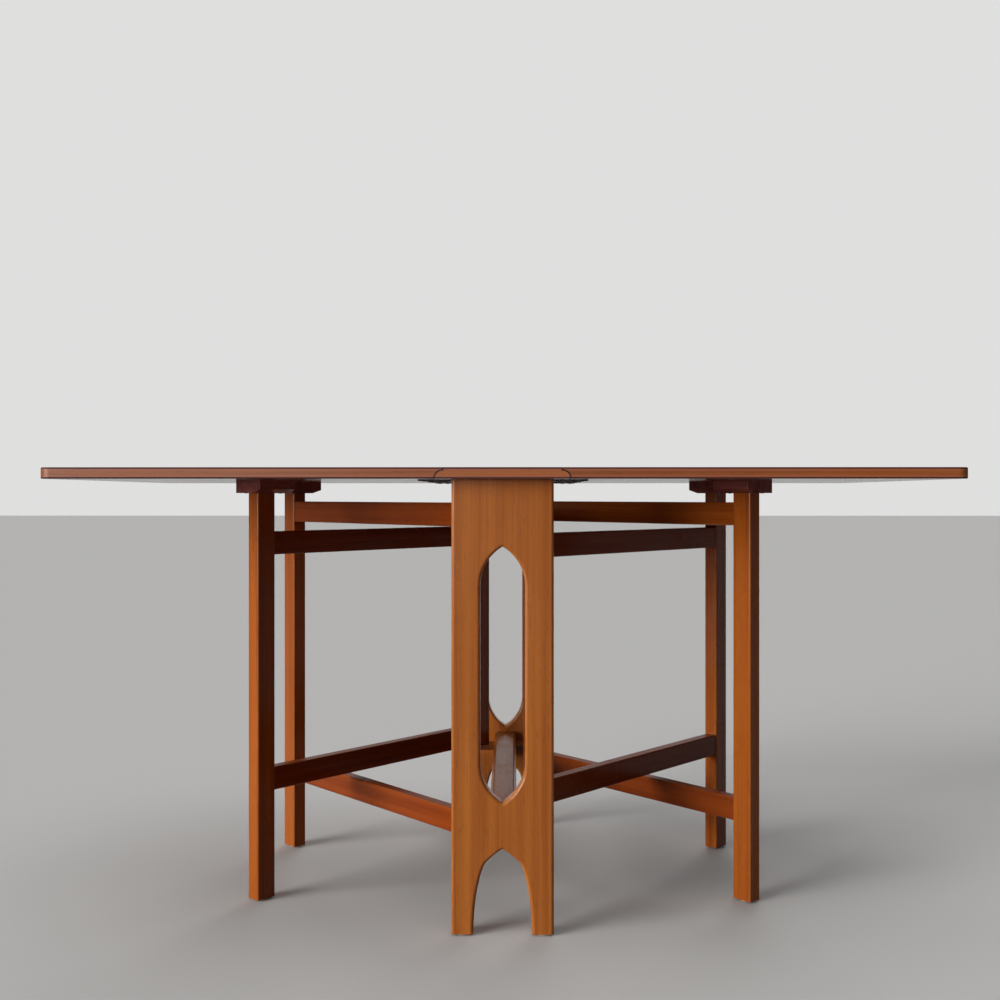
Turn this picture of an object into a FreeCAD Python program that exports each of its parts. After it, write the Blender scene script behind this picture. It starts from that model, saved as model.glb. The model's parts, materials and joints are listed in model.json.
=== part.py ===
"""Drop-leaf table on four crossing gate legs, in millimetres.

The origin is on the floor under the middle of the table. +X runs along the open
leaves, +Y runs to the back and +Z is up. The model stands open, as in use.
"""
import FreeCAD, Part

import os
import Sketcher

DOC = FreeCAD.newDocument("drop_leaf_table")
SHEET = DOC.addObject("Spreadsheet::Sheet", "Sizes")

SIZES = {
    # Table top
    "top_width": 1454,
    "top_depth": 750,
    "table_height": 740,
    "top_thick": 18,
    "centre_half": 93,
    "rule_round": 13.5,
    "rule_gap": 0.5,
    "leaf_gap": 0.8,
    "leaf_corner": 18,
    "leaf_edge": 2,
    # End panels
    "panel_width": 162,
    "panel_thick": 28,
    "top_overhang": 27.5,
    "panel_edge": 5,
    "hole_width": 71,
    "hole_bottom": 210,
    "hole_top_drop": 125,
    "hole_rise": 62,
    "hole_tip": 2.5,
    "arch_half": 46.5,
    "arch_rise": 144.5,
    "arch_tip_height": 137,
    "arch_curve": 120,
    "arch_lean_angle": 59.3,
    "arch_shoulder": 30,
    "cut_edge": 5,
    # Stretchers and the boards that hold the gate pivots
    "stretcher_width": 44,
    "stretcher_height": 44,
    "stretcher_round": 6,
    "lower_stretcher_base": 155,
    "upper_stretcher_drop": 123,
    "board_half": 70,
    "board_inner": 24,
    "board_outer": 18,
    "board_gap": 0.5,
    "board_edge": 2,
    # Gates
    "pivot_offset": 52,
    "pivot_inset": 57.5,
    "fold_gap": 1,
    "gate_angle": 40.6,
    "leg_width": 37.5,
    "leg_thick": 27,
    "leg_edge": 3,
    "rail_height": 40,
    "rail_thick": 22,
    "rail_edge": 2.5,
    "stile_width": 30,
    "rail_heel_length": 12,
    "rail_heel_round": 9,
    "big_upper_drop": 96,
    "big_lower_base": 135,
    "small_upper_drop": 146.5,
    "small_lower_base": 185.5,
    "pivot_radius": 5,
    "pivot_clearance": 0.05,
    "pin_depth": 28,
    # Bearers under the leaves
    "bearer_length": 76,
    "bearer_width": 66,
    "bearer_height": 22,
    "bearer_inset": 8,
    "bearer_lead_width": 20,
    "bearer_lead_height": 6.3,
    "bearer_edge": 1.5,
    # Cleats under the centre top
    "cleat_length": 104,
    "cleat_width": 20,
    "cleat_edge": 2,
    # Leaf hinges
    "hinge_length": 60,
    "hinge_inset": 150,
    "hinge_thick": 2,
    "fixed_flap_width": 30,
    "leaf_flap_width": 48,
    "knuckle_radius": 3.5,
    "knuckle_clearance": 0.6,
    "knuckle_gap": 0.4,
    "hinge_pin_radius": 1.6,
    "hinge_pin_clearance": 0.04,
    # Floor glides
    "glide_radius": 9,
    "glide_thick": 3,
    "cut_margin": 1,
}

# Sizes that follow from the driving ones: the frame from the top's depth, what is high from the table's
# height, and each gate from the room that it has to fold flat between the end panels
FOLLOWING = {
    "frame_length": "top_depth - 2 * top_overhang",
    "inner_half": "frame_length / 2 - panel_thick",
    "pivot_back": "inner_half - pivot_inset",
    "gate_reach": "inner_half + pivot_back - leg_width / 2 - fold_gap",
    "leg_top": "table_height - top_thick - bearer_height",
    "hole_top": "table_height - hole_top_drop",
    "upper_stretcher_base": "table_height - upper_stretcher_drop",
    "big_upper_base": "table_height - big_upper_drop",
    "small_upper_base": "table_height - small_upper_drop",
    "knuckle_length": "hinge_length / 3",
}

ROOT_AXES = {"X": FreeCAD.Vector(1, 0, 0), "Y": FreeCAD.Vector(0, 1, 0), "Z": FreeCAD.Vector(0, 0, 1)}
HINGE_PLACE_SHARES = (-1, 0, 1)
KNUCKLES = 3
TOLERANCE = 1e-4
DRAFT_SIDE = 10

NODES = []


def fill_sheet():
    """Write each size, and each formula, into its own named cell."""
    formulas = {alias: "=" + expression for alias, expression in FOLLOWING.items()}
    for row, (alias, value) in enumerate({**SIZES, **formulas}.items(), start=1):
        cell = "A%d" % row
        SHEET.set(cell, str(value))
        SHEET.setAlias(cell, alias)
        DOC.recompute()


def size(alias):
    """The value of one named cell."""
    return float(SHEET.get(alias))


def cells(expression):
    """An expression in plain names, with each name pointed at its cell."""
    words = []
    word = ""
    for mark in expression + " ":
        if mark.isalnum() or mark == "_" or (mark == "." and word[:1].isdigit()):
            word += mark
            continue
        words.append("Sizes." + word if word in SIZES or word in FOLLOWING else word)
        words.append(mark)
        word = ""
    return "".join(words).strip()


def bind(thing, path, expression):
    """Tie one property of an object to an expression over the named sizes."""
    thing.setExpression(path, cells(str(expression)))


def place(thing, at=("0", "0", "0"), turn="0"):
    """Put an object at three expressions, turned about the vertical."""
    thing.Placement = FreeCAD.Placement(FreeCAD.Vector(), FreeCAD.Rotation(ROOT_AXES["Z"], 0))
    for axis, expression in zip("xyz", at):
        bind(thing, "Placement.Base." + axis, expression)
    if turn != "0":
        thing.Placement.Rotation = FreeCAD.Rotation(ROOT_AXES["Z"], 1)
        bind(thing, "Placement.Rotation.Angle", turn)


def keep(thing, label):
    """Name an object as one piece of the table."""
    thing.Label = label
    NODES.append(thing)
    return thing


def scrap_name(label, suffix):
    """A name for a helper object that belongs to a piece."""
    return label + "_" + suffix


def plane(body, role):
    """One of a body's own origin planes."""
    return next(item for item in body.Origin.OriginFeatures if item.Role == role)


def edges_where(shape, test):
    """The names of the edges of a shape that pass a test."""
    return ["Edge%d" % (i + 1) for i, edge in enumerate(shape.Edges) if test(edge)]


def runs_along(axis):
    """A test for straight edges along one axis of the piece's own frame."""
    def test(edge):
        if edge.Curve.TypeId != "Part::GeomLine":
            return False
        return edge.Curve.Direction.cross(ROOT_AXES[axis]).Length < TOLERANCE
    return test


def round_edges(body, feature, radius, test, kind="Fillet"):
    """Round or chamfer the chosen edges of a body's last feature."""
    DOC.recompute()
    names = edges_where(feature.Shape, test)
    if not names:
        raise RuntimeError(body.Label + ": no edge to round")
    dress = body.newObject("PartDesign::" + kind, scrap_name(body.Name, kind + radius))
    dress.Base = (feature, names)
    bind(dress, "Radius" if kind == "Fillet" else "Size", radius)
    body.Tip = dress
    return dress


def slab(label, long, wide, tall, offset=("0", "0", "0"), at=("0", "0", "0"), turn="0"):
    """A rectangular board: a sketched rectangle, padded upwards, in its own frame."""
    body = DOC.addObject("PartDesign::Body", label)
    sketch = body.newObject("Sketcher::SketchObject", scrap_name(label, "outline"))
    sketch.AttachmentSupport = (plane(body, "XY_Plane"), [""])
    sketch.MapMode = "FlatFace"
    corners = [FreeCAD.Vector(x, y, 0) * DRAFT_SIDE for x, y in ((0, 0), (1, 0), (1, 1), (0, 1))]
    for i in range(4):
        sketch.addGeometry(Part.LineSegment(corners[i], corners[(i + 1) % 4]), False)
    for i in range(4):
        sketch.addConstraint(Sketcher.Constraint("Coincident", i, 2, (i + 1) % 4, 1))
    for i, kind in enumerate(("Horizontal", "Vertical", "Horizontal", "Vertical")):
        sketch.addConstraint(Sketcher.Constraint(kind, i))
    sketch.addConstraint(Sketcher.Constraint("Coincident", 0, 1, -1, 1))
    for name, kind, line, expression in (("long", "DistanceX", 0, long), ("wide", "DistanceY", 1, wide)):
        index = sketch.addConstraint(Sketcher.Constraint(kind, line, 1, line, 2, DRAFT_SIDE))
        sketch.renameConstraint(index, name)
        bind(sketch, "Constraints." + name, expression)
    for axis, expression in zip("xyz", offset):
        bind(sketch, "AttachmentOffset.Base." + axis, expression)
    pad = body.newObject("PartDesign::Pad", scrap_name(label, "pad"))
    pad.Profile = sketch
    bind(pad, "Length", tall)
    place(body, at, turn)
    body.Tip = pad
    return body, pad


def box(name, long, wide, tall, at):
    """A plain block, used as a cutting tool."""
    block = DOC.addObject("Part::Box", name)
    for path, expression in (("Length", long), ("Width", wide), ("Height", tall)):
        bind(block, path, expression)
    place(block, at)
    return block


def rod(name, radius, long, at, along="Z", sweep=None, start=0):
    """A round bar along one axis, or a sector of one, from a start angle."""
    bar = DOC.addObject("Part::Cylinder", name)
    bind(bar, "Radius", radius)
    bind(bar, "Height", long)
    if sweep:
        bar.Angle = sweep
    lay = {
        "Z": FreeCAD.Rotation(),
        "Y": FreeCAD.Rotation(ROOT_AXES["X"], -90),
        "X": FreeCAD.Rotation(ROOT_AXES["Y"], 90),
    }[along]
    spin = FreeCAD.Rotation(ROOT_AXES["Z"], start)
    bar.Placement = FreeCAD.Placement(FreeCAD.Vector(), lay.multiply(spin))
    for axis, expression in zip("xyz", at):
        bind(bar, "Placement.Base." + axis, expression)
    return bar


def join(name, shapes, kind="Part::MultiFuse"):
    """Several shapes as one: fused, intersected, or kept as separate solids."""
    whole = DOC.addObject(kind, name)
    if kind == "Part::Compound":
        whole.Links = shapes
    else:
        whole.Shapes = shapes
    return whole


def cut(name, base, tools):
    """A base with one or more tools taken out of it."""
    tool = tools[0] if len(tools) == 1 else join(scrap_name(name, "tools"), tools)
    result = DOC.addObject("Part::Cut", name)
    result.Base = base
    result.Tool = tool
    DOC.recompute()
    if not result.Shape.Volume < base.Shape.Volume - TOLERANCE:
        raise RuntimeError(name + ": the cut took nothing away")
    return result


def soften(name, base, alias, test):
    """Round the chosen edges of a finished solid."""
    DOC.recompute()
    numbers = [i + 1 for i, edge in enumerate(base.Shape.Edges) if test(edge)]
    if not numbers:
        raise RuntimeError(name + ": no edge to round")
    dress = DOC.addObject("Part::Fillet", name)
    dress.Base = base
    dress.Edges = [(number, size(alias), size(alias)) for number in numbers]
    return dress


# End panels: a board with a tall pointed opening and an arch between its two feet

def lancet(label, y):
    """The tall opening: straight sides, and two arcs that meet in a point at each end."""
    half = "hole_width / 2"
    radius = "((hole_rise ^ 2 + (%s) ^ 2) / hole_width)" % half
    deep = "panel_thick + 2 * cut_margin"
    ends = []
    for end, level in (("low", "hole_bottom + hole_rise"), ("high", "hole_top - hole_rise")):
        pair = []
        for side, sign in (("left", "-"), ("right", "+")):
            centre = "%s(%s - %s)" % (sign, radius, half)
            turned = "%s - panel_thick / 2 - cut_margin" % y
            pair.append(rod(scrap_name(label, end + "_" + side), radius, deep, (centre, turned, level), "Y"))
        ends.append(join(scrap_name(label, end + "_point"), pair, "Part::MultiCommon"))
    middle = box(
        scrap_name(label, "middle"), "hole_width", deep, "hole_top - hole_bottom - 2 * hole_rise",
        ("-hole_width / 2", "%s - panel_thick / 2 - cut_margin" % y, "hole_bottom + hole_rise"))
    whole = join(scrap_name(label, "pointed"), ends + [middle])
    whole.Refine = True
    return soften(scrap_name(label, "opening"), whole, "hole_tip", at_tip)


def at_tip(edge):
    """True for the sharp edges on the panel's middle line where two arcs meet."""
    spot = edge.BoundBox
    return spot.XLength < TOLERANCE and abs(spot.XMin) < TOLERANCE and spot.YLength > size("panel_thick")


def foot_arch(label, y):
    """The arch between the feet: a tall ellipse with two flatter curves that meet in a point over it."""
    ring = DOC.addObject("Part::Ellipse", scrap_name(label, "arch_line"))
    bind(ring, "MajorRadius", "arch_rise")
    bind(ring, "MinorRadius", "arch_half")
    upright = FreeCAD.Rotation(ROOT_AXES["Z"], ROOT_AXES["X"], ROOT_AXES["Y"], "XYZ")
    ring.Placement = FreeCAD.Placement(FreeCAD.Vector(), upright)
    bind(ring, "Placement.Base.y", "%s - panel_thick / 2 - cut_margin" % y)
    arch = DOC.addObject("Part::Extrusion", scrap_name(label, "arch"))
    arch.Base = ring
    arch.DirMode = "Custom"
    arch.Dir = ROOT_AXES["Y"]
    arch.Solid = True
    bind(arch, "LengthFwd", "panel_thick + 2 * cut_margin")
    shapes = [arch]
    for side, sign in (("left", "-"), ("right", "")):
        centre = (
            "%sarch_curve * cos(arch_lean_angle * 1 deg)" % sign,
            "%s - panel_thick / 2 - cut_margin" % y,
            "arch_tip_height - arch_curve * sin(arch_lean_angle * 1 deg)")
        shapes.append(rod(
            scrap_name(label, side + "_arch_curve"), "arch_curve", "panel_thick + 2 * cut_margin", centre, "Y"))
    pointed = join(scrap_name(label, "arch_pointed"), shapes, "Part::MultiCommon")
    tipped = soften(scrap_name(label, "arch_tipped"), pointed, "hole_tip", at_tip)
    return soften(scrap_name(label, "arch_opening"), tipped, "arch_shoulder", at_shoulder)


def at_shoulder(edge):
    """True for the two edges where the arch's flatter curves leave the ellipse."""
    spot = edge.BoundBox
    aside = min(abs(spot.XMin), abs(spot.XMax)) > size("arch_half") / 4
    return aside and spot.XLength < TOLERANCE and spot.ZLength < TOLERANCE and spot.ZMin > size("arch_rise") / 2


def in_opening(edge):
    """True for the edges of the tall opening and the arch on a panel's two faces."""
    spot = edge.BoundBox
    inside = max(abs(spot.XMin), abs(spot.XMax)) < size("panel_width") / 2 - size("panel_edge") * 2
    return inside and spot.YLength < TOLERANCE and spot.ZLength > TOLERANCE


def end_panel(label, sign):
    """One end panel, its middle plane at plus or minus half the frame's length."""
    y = "%s(frame_length - panel_thick) / 2" % sign
    body, pad = slab(
        label + "_board", "panel_width", "panel_thick", "table_height - top_thick - glide_thick",
        ("-panel_width / 2", "-panel_thick / 2", "0"), ("0", y, "glide_thick"))
    round_edges(body, pad, "panel_edge", runs_along("Z"))
    pierced = cut(label + "_pierced", body, [lancet(label, y), foot_arch(label, y)])
    keep(soften(label, pierced, "cut_edge", in_opening), label)


# Table top: a fixed centre and two leaves that meet it in rule joints

def hinge_places():
    """The depth of each hinge's middle, as expressions."""
    return ["%d * (top_depth / 2 - hinge_inset)" % share for share in HINGE_PLACE_SHARES]


def centre_top():
    """The fixed centre board, with a rounded edge and hinge recesses at each side."""
    base = "table_height - top_thick"
    board = box(
        "centre_board", "2 * centre_half", "top_depth", "top_thick", ("-centre_half", "-top_depth / 2", base))
    shapes = [board]
    recesses = []
    for side, sign, start in (("left", "-", 180), ("right", "", 270)):
        x = sign + "centre_half"
        shapes.append(rod(
            "%s_round" % side, "rule_round", "top_depth", (x, "-top_depth / 2", base), "Y", 90, start))
        for i, y in enumerate(hinge_places()):
            front = y + " - hinge_length / 2 - knuckle_clearance"
            long = "hinge_length + 2 * knuckle_clearance"
            recesses.append(rod(
                "%s_recess_%d" % (side, i), "knuckle_radius + knuckle_clearance", long,
                (x, front, base), "Y"))
            near = "-centre_half - rule_round - cut_margin" if sign else "centre_half"
            recesses.append(box(
                "%s_relief_%d" % (side, i), "rule_round + cut_margin", long, "knuckle_clearance",
                (near, front, base)))
    whole = join("centre_whole", shapes)
    whole.Refine = True
    keep(cut("centre_top", whole, recesses), "centre_top")


def outer_rim(edge):
    """True for the long edges round a leaf's free sides, but not along its joint."""
    spot = edge.BoundBox
    level = spot.ZLength < TOLERANCE
    joint = abs(abs(spot.XMin) - size("centre_half") - size("leaf_gap")) < TOLERANCE
    return level and not (joint and spot.XLength < TOLERANCE)


def leaf(side, sign):
    """One leaf, with rounded free corners and a cove that fits over the centre's edge."""
    base = "table_height - top_thick"
    long = "top_width / 2 - centre_half - leaf_gap"
    near = "-top_width / 2" if sign else "centre_half + leaf_gap"
    body, pad = slab(
        side + "_leaf_board", long, "top_depth", "top_thick", (near, "-top_depth / 2", base))

    def free_corner(edge):
        return runs_along("Z")(edge) and abs(edge.BoundBox.XMin) > size("top_width") / 4

    corners = round_edges(body, pad, "leaf_corner", free_corner)
    round_edges(body, corners, "leaf_edge", outer_rim)
    cove = rod(
        side + "_cove", "rule_round + rule_gap", "top_depth + 2 * cut_margin",
        (sign + "centre_half", "-top_depth / 2 - cut_margin", base), "Y")
    keep(cut(side + "_leaf", body, [cove]), side + "_leaf")


# Leaf hinges: two flaps with interleaved knuckles on one pin

def hinge_flap(name, width, x, axis, y, first):
    """One flap: a plate with every second knuckle, cleared for the others and bored for the pin."""
    base = "table_height - top_thick"
    front = "%s - hinge_length / 2" % y
    across = "2 * (knuckle_radius + knuckle_gap)"
    corner = "%s - knuckle_radius - knuckle_gap"
    solids = [box(
        name + "_plate", width, "hinge_length", "hinge_thick", (x, front, base + " - hinge_thick"))]
    tools = [rod(
        name + "_bore", "hinge_pin_radius + hinge_pin_clearance", "hinge_length + 2 * cut_margin",
        (axis, front + " - cut_margin", base), "Y")]
    for i in range(KNUCKLES):
        start = "%s + %d * knuckle_length" % (front, i)
        if i % 2 == first:
            solids.append(rod(
                "%s_knuckle_%d" % (name, i), "knuckle_radius", "knuckle_length", (axis, start, base), "Y"))
        else:
            tools.append(box(
                "%s_gap_%d" % (name, i), across, "knuckle_length + 2 * knuckle_gap", across,
                (corner % axis, start + " - knuckle_gap", corner % base)))
    return cut(name, join(name + "_body", solids), tools)


def hinge_side(side, sign):
    """The hinges of one leaf: fixed flaps, leaf flaps and pins."""
    axis = sign + "centre_half"
    inner_x = axis if sign else axis + " - fixed_flap_width"
    outer_x = axis + " - leaf_flap_width" if sign else axis
    solids = {"fixed_flaps": [], "leaf_flaps": [], "pins": []}
    for i, y in enumerate(hinge_places()):
        tag = "%s_hinge_%d" % (side, i)
        solids["fixed_flaps"].append(hinge_flap(tag + "_fixed", "fixed_flap_width", inner_x, axis, y, 0))
        solids["leaf_flaps"].append(hinge_flap(tag + "_leaf", "leaf_flap_width", outer_x, axis, y, 1))
        solids["pins"].append(rod(
            tag + "_pin", "hinge_pin_radius", "hinge_length",
            (axis, "%s - hinge_length / 2" % y, "table_height - top_thick"), "Y"))
    for name, pieces in solids.items():
        label = "%s_hinge_%s" % (side, name)
        keep(join(label, pieces, "Part::Compound"), label)


# Frame: stretchers, pivot boards and cleats between the panels

def stretcher(label, base, board_base):
    """A bar with a rounded top, pierced near each end by the board that crosses it."""
    body, pad = slab(
        label + "_bar", "stretcher_width", "frame_length - 2 * panel_thick", "stretcher_height",
        ("-stretcher_width / 2", "-(frame_length - 2 * panel_thick) / 2", "0"), ("0", "0", base))

    def top_side(edge):
        return runs_along("Y")(edge) and edge.BoundBox.ZMin > size("stretcher_height") / 2

    round_edges(body, pad, "stretcher_round", top_side)
    slots = []
    for end in ("front", "rear"):
        near = "pivot_back - board_inner" if end == "rear" else "-pivot_back - board_outer"
        slots.append(box(
            "%s_%s_slot" % (label, end), "stretcher_width + 2 * cut_margin", "board_inner + board_outer",
            board_thick(board_base), ("-stretcher_width / 2 - cut_margin", near, board_level(board_base))))
    keep(cut(label, body, slots), label)


def board_level(kind):
    """The underside of the lower or upper pivot boards."""
    if kind == "lower":
        return "big_lower_base + rail_height + board_gap"
    return "small_upper_base + rail_height + board_gap"


def board_thick(kind):
    """The thickness that fits between the crossing rails."""
    if kind == "lower":
        return "small_lower_base - big_lower_base - rail_height - 2 * board_gap"
    return "big_upper_base - small_upper_base - rail_height - 2 * board_gap"


def pivot_board(end, kind):
    """A board across the frame that holds one end's two gate pivots."""
    label = "%s_%s_pivot_board" % (end, kind)
    near = "pivot_back - board_inner" if end == "rear" else "-pivot_back - board_outer"
    y = "pivot_back" if end == "rear" else "-pivot_back"
    body, pad = slab(
        label + "_blank", "2 * board_half", "board_inner + board_outer", board_thick(kind),
        ("-board_half", near, "0"), ("0", "0", board_level(kind)))
    round_edges(body, pad, "board_edge", runs_along("Z"))
    holes = [
        rod(
            "%s_hole_%d" % (label, i), "pivot_radius", board_thick(kind) + " + 2 * cut_margin",
            (x, y, board_level(kind) + " - cut_margin"))
        for i, x in enumerate(("-pivot_offset", "pivot_offset"))]
    keep(cut(label, body, holes), label)


def cleat(end, sign):
    """A batten in the corner between an end panel and the centre top."""
    label = end + "_top_cleat"
    near = "inner_half - cleat_width" if sign == "" else "-inner_half"
    body, pad = slab(
        label, "cleat_length", "cleat_width", "cleat_width", ("-cleat_length / 2", near, "0"),
        ("0", "0", "table_height - top_thick - cleat_width"))
    round_edges(body, pad, "cleat_edge", runs_along("Z"))
    keep(body, label)


# Gates: a leg and two rails that swing on pins between the pivot boards

GATES = {
    # name: (sign of the pivot's x, sign of its y, turn of the open gate, nested inside, closing turn)
    "left_rear": ("-", "", "270 - gate_angle", True, 1),
    "left_front": ("-", "-", "90 + gate_angle", False, -1),
    "right_front": ("", "-", "90 - gate_angle", True, 1),
    "right_rear": ("", "", "gate_angle - 90", False, -1),
}


def gate(name):
    """One swinging gate, named for the corner where it pivots."""
    x_sign, y_sign, turn, nested, closing = GATES[name]
    pivot = (x_sign + "pivot_offset", y_sign + "pivot_back")
    family = "small" if nested else "big"
    leg_near = "gate_reach - leg_width / 2"
    label = name + "_gate_leg"
    body, pad = slab(
        label, "leg_width", "leg_thick", "leg_top - glide_thick",
        (leg_near, "-leg_thick / 2", "glide_thick"), pivot + ("0",), turn)
    round_edges(body, pad, "leg_edge", runs_along("Z"))
    keep(body, label)
    rail_near = "stile_width / 2" if nested else "-rail_heel_length"
    for level in ("upper", "lower"):
        base = "%s_%s_base" % (family, level)
        label = "%s_gate_%s_rail" % (name, level)
        long = "%s - %s" % (leg_near, rail_near) if nested else "%s + rail_heel_length" % leg_near
        body, pad = slab(
            label if nested else label + "_blank", long, "rail_thick", "rail_height",
            (rail_near, "-rail_thick / 2", base), pivot + ("0",), turn)
        if nested:
            round_edges(body, pad, "rail_edge", runs_along("X"))
            keep(body, label)
            continue
        heel = round_edges(body, pad, "rail_heel_round", at_heel)
        round_edges(body, heel, "rail_edge", runs_along("X"))
        bore = rod(
            label + "_bore", "pivot_radius + pivot_clearance", "rail_height + 2 * cut_margin",
            pivot + (base + " - cut_margin",))
        keep(cut(label, body, [bore]), label)
    if nested:
        gate_stile(name, pivot, turn)
    pivot_pins(name, pivot, nested)
    glide = rod(name + "_leg_glide_disc", "glide_radius", "glide_thick", leg_spot(pivot, turn) + ("0",))
    keep(glide, name + "_leg_glide")


def at_heel(edge):
    """True for the two upright edges of a rail's end behind its pivot."""
    return runs_along("Z")(edge) and edge.BoundBox.XMin < 0


def leg_spot(pivot, turn):
    """Where the middle of a gate's leg stands, as two expressions."""
    return (
        "%s + gate_reach * cos((%s) * 1 deg)" % (pivot[0], turn),
        "%s + gate_reach * sin((%s) * 1 deg)" % (pivot[1], turn))


def gate_stile(name, pivot, turn):
    """The upright at the pivot of a nested gate, bored at both ends for its pins."""
    label = name + "_gate_stile"
    tall = "small_upper_base + rail_height - small_lower_base"
    body, pad = slab(
        label + "_blank", "stile_width", "leg_thick", tall,
        ("-stile_width / 2", "-leg_thick / 2", "small_lower_base"), pivot + ("0",), turn)
    round_edges(body, pad, "leg_edge", runs_along("Z"))
    bores = []
    for level, base in (
            ("lower", "small_lower_base - cut_margin"),
            ("upper", "small_upper_base + rail_height - pin_depth - pivot_clearance")):
        bores.append(rod(
            "%s_%s_bore" % (label, level), "pivot_radius + pivot_clearance",
            "pin_depth + pivot_clearance + cut_margin", pivot + (base,)))
    keep(cut(label, body, bores), label)


def pivot_pins(name, pivot, nested):
    """The two pins of one gate, fast in the boards and free in the gate."""
    pins = []
    for level in ("lower", "upper"):
        inward = nested == (level == "lower")
        base = board_level(level) if inward else board_level(level) + " - board_gap - pin_depth"
        pins.append(rod(
            "%s_%s_pin" % (name, level), "pivot_radius",
            board_thick(level) + " + board_gap + pin_depth", pivot + (base,)))
    keep(join(name + "_gate_pivot_pins", pins, "Part::Compound"), name + "_gate_pivot_pins")


def bearer(side, name):
    """The block under a leaf where an open gate's leg stands, eased where the leg comes in."""
    x_sign, y_sign, turn, nested, closing = GATES[name]
    pivot = (x_sign + "pivot_offset", y_sign + "pivot_back")
    label = "%s_leaf_%s_bearer" % (side, "rear" if y_sign else "front")
    body, pad = slab(
        label, "bearer_length", "bearer_width", "bearer_height",
        ("gate_reach - bearer_inset - bearer_length / 2", "-bearer_width / 2", "leg_top"), pivot + ("0",), turn)

    def lead_in(edge):
        low = abs(edge.BoundBox.ZMax - size("leg_top")) < TOLERANCE
        return runs_along("X")(edge) and low and edge.BoundBox.YMin * closing > 0

    eased = round_edges(body, pad, "bearer_lead_width", lead_in, "Chamfer")
    eased.ChamferType = "Two distances"
    bind(eased, "Size2", "bearer_lead_height")
    DOC.recompute()
    foot = min(eased.Shape.Faces, key=lambda face: face.CenterOfMass.z)
    eased.FlipDirection = foot.BoundBox.YLength > size("bearer_width") - size("bearer_lead_width") + TOLERANCE
    round_edges(body, eased, "bearer_edge", runs_along("Z"))
    keep(body, label)


# Floor glides

def panel_glides(end, sign):
    """The two glides under one end panel's feet."""
    y = "%s(frame_length - panel_thick) / 2" % sign
    discs = [
        rod("%s_glide_%d" % (end, i), "glide_radius", "glide_thick",
            ("%s(panel_width / 2 + arch_half) / 2" % side, y, "0"))
        for i, side in enumerate(("-", ""))]
    keep(join(end + "_panel_glides", discs, "Part::Compound"), end + "_panel_glides")


def check_and_write():
    """Stop on any failed object, then write each piece to its own file."""
    DOC.recompute()
    for thing in DOC.Objects:
        if "Invalid" in thing.State or "Error" in thing.State:
            raise RuntimeError("%s: %s" % (thing.Label, thing.State))
    os.makedirs("parts", exist_ok=True)
    for node in NODES:
        if node.Shape.isNull() or not node.Shape.isValid():
            raise RuntimeError(node.Label + ": the shape is not valid")
    for node in NODES:
        node.Shape.exportStep("parts/%s.step" % node.Label)
    print(len(NODES), "pieces")


def main():
    """Build the table piece by piece and write the files."""
    fill_sheet()
    for end, sign in (("front", "-"), ("rear", "")):
        end_panel(end + "_panel", sign)
        panel_glides(end, sign)
        cleat(end, sign)
        for kind in ("lower", "upper"):
            pivot_board(end, kind)
    stretcher("lower_stretcher", "lower_stretcher_base", "lower")
    stretcher("upper_stretcher", "upper_stretcher_base", "upper")
    for name in GATES:
        gate(name)
    centre_top()
    for side, sign in (("left", "-"), ("right", "")):
        leaf(side, sign)
        hinge_side(side, sign)
        for name in GATES:
            if name.startswith(side):
                bearer(side, name)
    check_and_write()


main()
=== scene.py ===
"""Looks of the drop-leaf table: lacquered wood, dark hinges, screw heads, studio and camera."""

import json
import logging
import math
from dataclasses import dataclass
from enum import Enum
from typing import Any

import bpy
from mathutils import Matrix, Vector

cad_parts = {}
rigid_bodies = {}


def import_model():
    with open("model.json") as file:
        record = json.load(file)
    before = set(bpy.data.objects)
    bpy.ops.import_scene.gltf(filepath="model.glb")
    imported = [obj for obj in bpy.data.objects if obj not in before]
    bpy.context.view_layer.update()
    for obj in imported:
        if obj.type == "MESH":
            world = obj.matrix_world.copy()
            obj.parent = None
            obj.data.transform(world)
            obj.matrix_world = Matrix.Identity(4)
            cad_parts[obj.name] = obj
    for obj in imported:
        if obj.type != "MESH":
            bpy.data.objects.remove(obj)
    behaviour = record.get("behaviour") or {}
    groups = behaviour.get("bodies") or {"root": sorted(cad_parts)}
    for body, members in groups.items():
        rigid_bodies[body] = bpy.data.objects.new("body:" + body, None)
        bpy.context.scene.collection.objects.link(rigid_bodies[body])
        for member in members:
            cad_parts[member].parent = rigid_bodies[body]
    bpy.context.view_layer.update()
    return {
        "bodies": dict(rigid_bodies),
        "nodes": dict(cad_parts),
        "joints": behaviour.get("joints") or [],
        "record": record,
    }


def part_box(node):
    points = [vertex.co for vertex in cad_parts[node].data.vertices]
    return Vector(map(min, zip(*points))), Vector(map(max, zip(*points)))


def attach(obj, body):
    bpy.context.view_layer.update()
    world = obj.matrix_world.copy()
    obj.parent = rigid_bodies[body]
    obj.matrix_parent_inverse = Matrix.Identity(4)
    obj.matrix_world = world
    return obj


LOG = logging.getLogger("drop_leaf_table")
QUARTER_TURN = math.pi / 2
COLOUR, NUMBER, VECTOR = "NodeSocketColor", "NodeSocketFloat", "NodeSocketVector"
Axes = tuple[float, float, float]
Colour = tuple[float, float, float]
Ends = tuple[float, float]
Socket = bpy.types.NodeSocket


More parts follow.
